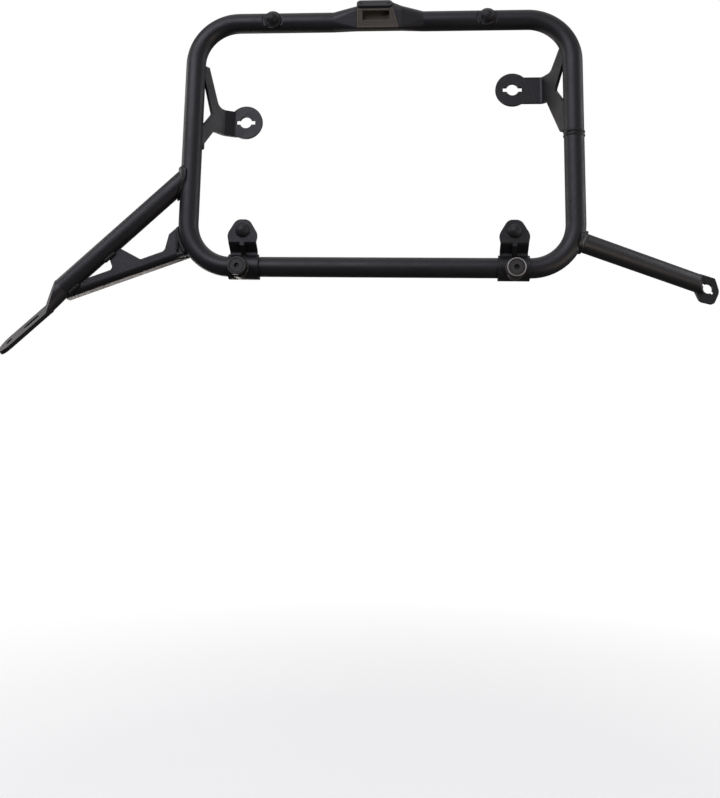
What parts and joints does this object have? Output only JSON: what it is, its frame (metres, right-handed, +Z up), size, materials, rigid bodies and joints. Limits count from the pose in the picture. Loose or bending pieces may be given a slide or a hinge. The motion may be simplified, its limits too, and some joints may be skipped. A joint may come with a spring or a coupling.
{
  "type": "pannier frame",
  "caption": "Rounded rectangular tube frame that carries a pannier case beside a motorbike, with a latch housing, hook brackets, two arms and folded mounts.",
  "frame": {"origin": "middle of the lower bar's centre line", "axes": "+X along the lower bar to the rear of the bike, +Y in towards the bike, away from the case, +Z up"},
  "size_m": [0.6576, 0.0965, 0.3276],
  "materials": {
    "coat": "satin",
    "receiver": "satin",
    "dark_metal": "satin",
    "bare_steel": "satin",
    "rubber": "matte"
  },
  "bodies": {
    "root": {"loop_tube_main": "coat", "loop_tube_rear": "coat", "loop_butt_weld": "coat", "latch_housing": "coat", "latch_receiver": "receiver", "latch_bar": "dark_metal", "latch_pins": "bare_steel", "top_bumper_front": "rubber", "top_bumper_rear": "rubber", "hook_bracket_front": "coat", "hook_bracket_rear": "coat", "hook_bumper_front": "rubber", "hook_bumper_rear": "rubber", "hook_puck_front": "dark_metal", "hook_puck_rear": "dark_metal", "puck_screw_front": "bare_steel", "puck_screw_rear": "bare_steel", "puck_boss_front": "bare_steel", "puck_boss_rear": "bare_steel", "upper_mount_front": "coat", "upper_mount_rear": "coat", "upper_mount_welds": "coat", "front_arm": "coat", "front_arm_weld": "coat", "gusset": "coat", "gusset_welds": "coat", "rear_arm": "coat", "rear_arm_weld": "coat"}
  },
  "joints": []
}
